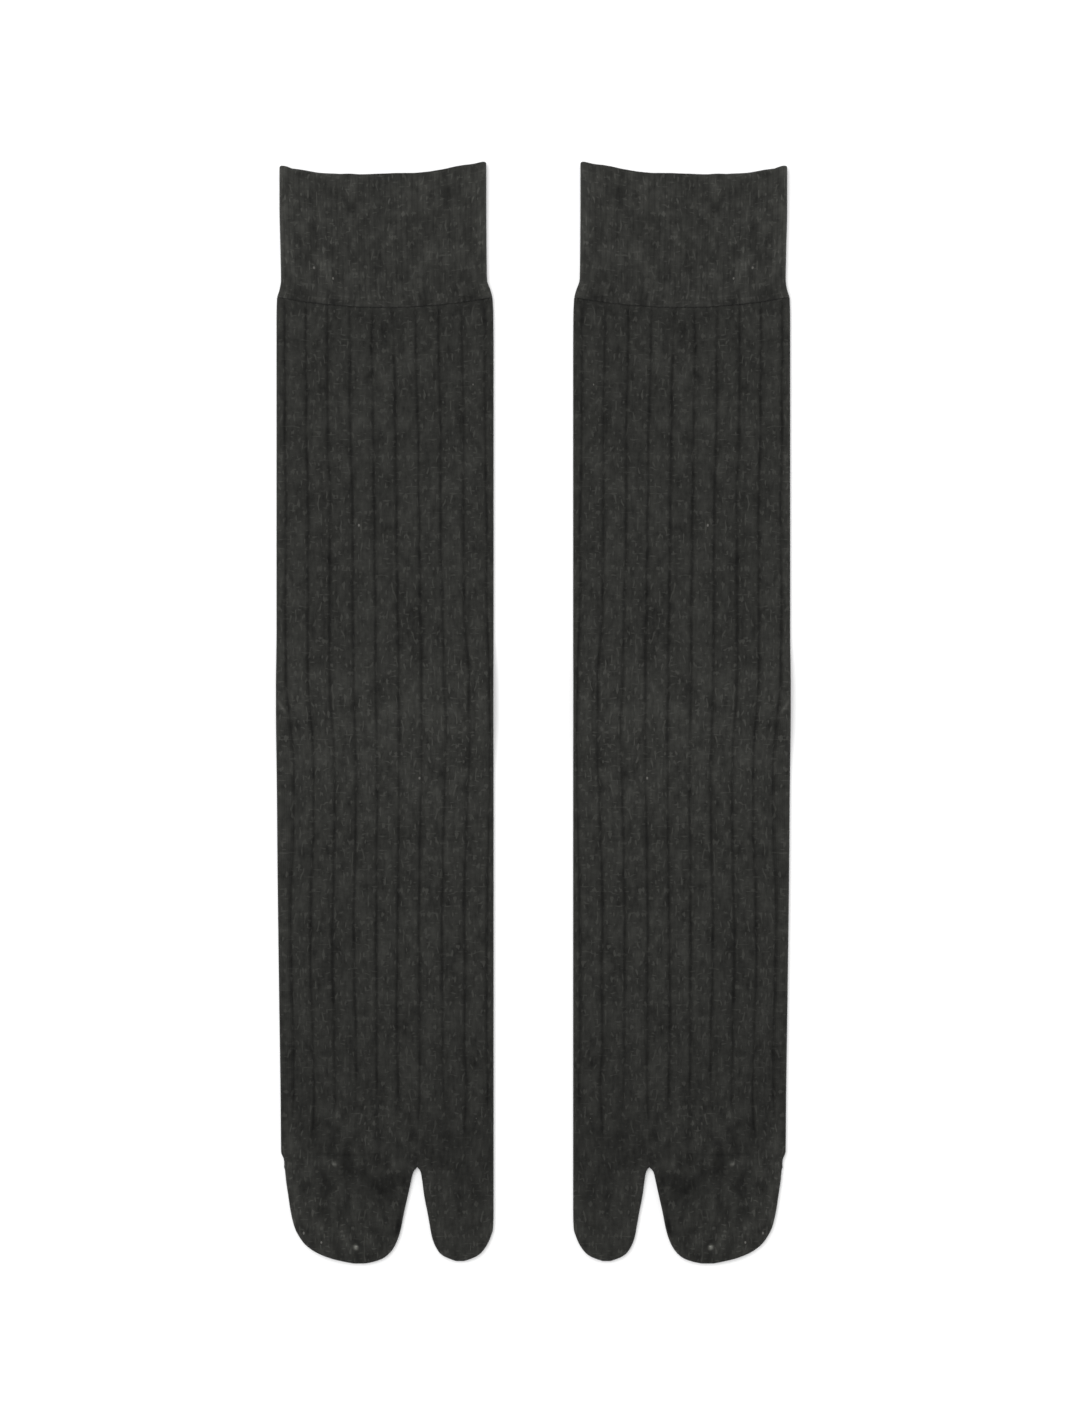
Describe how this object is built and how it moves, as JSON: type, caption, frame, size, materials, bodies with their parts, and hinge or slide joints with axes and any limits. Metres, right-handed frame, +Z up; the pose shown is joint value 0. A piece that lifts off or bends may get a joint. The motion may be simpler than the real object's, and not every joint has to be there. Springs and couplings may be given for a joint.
{
  "type": "pair of split-toe socks",
  "caption": "Mid-calf knitted split-toe socks with ribbed cuffs, laid flat side by side with the instep up and the toes pointing towards -Y.",
  "frame": {"origin": "on the surface that the socks lie on, in the middle of the pair", "axes": "+Y from the toes to the cuffs, +Z up from the surface, +X from the wearer's right sock to the left one"},
  "size_m": [0.2132, 0.457, 0.0071],
  "materials": {
    "cuff": "matte rib knit, heathered charcoal",
    "leg_and_foot": "matte wide-rib knit, heathered charcoal",
    "heel": "matte plain knit, heathered charcoal"
  },
  "bodies": {
    "root": {"right_cuff": "cuff", "right_leg_and_foot": "leg_and_foot", "right_heel": "heel", "left_cuff": "cuff", "left_leg_and_foot": "leg_and_foot", "left_heel": "heel"}
  },
  "joints": []
}
